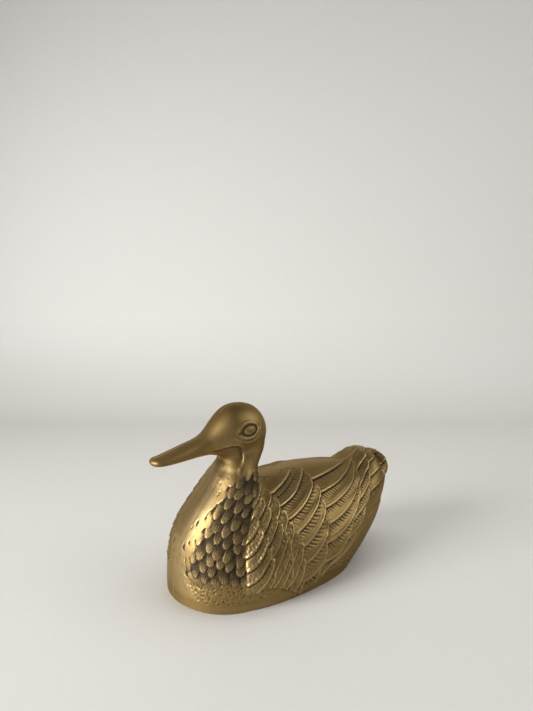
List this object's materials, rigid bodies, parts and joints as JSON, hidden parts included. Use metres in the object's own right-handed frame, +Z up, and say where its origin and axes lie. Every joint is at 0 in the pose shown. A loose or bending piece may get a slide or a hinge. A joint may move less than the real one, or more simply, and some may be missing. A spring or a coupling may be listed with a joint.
{
  "type": "duck figurine",
  "caption": "Hollow cast brass duck ornament sitting on a flat open rim, head forward on an upright neck, wings folded, made of half castings brazed along the middle.",
  "frame": {"origin": "under the middle of the duck's length and width, on the surface that it stands on", "axes": "-X is the way the duck faces, -Y is its left side, +Z is up"},
  "size_m": [0.15, 0.0742, 0.093],
  "materials": {
    "cast_brass": "aged cast brass, polished on the raised parts and dark in the recesses",
    "braze_brass": "braze ground flush and polished smooth"
  },
  "bodies": {
    "root": {"left_half_casting": "cast_brass", "right_half_casting": "cast_brass", "seam_braze": "braze_brass"}
  },
  "joints": []
}
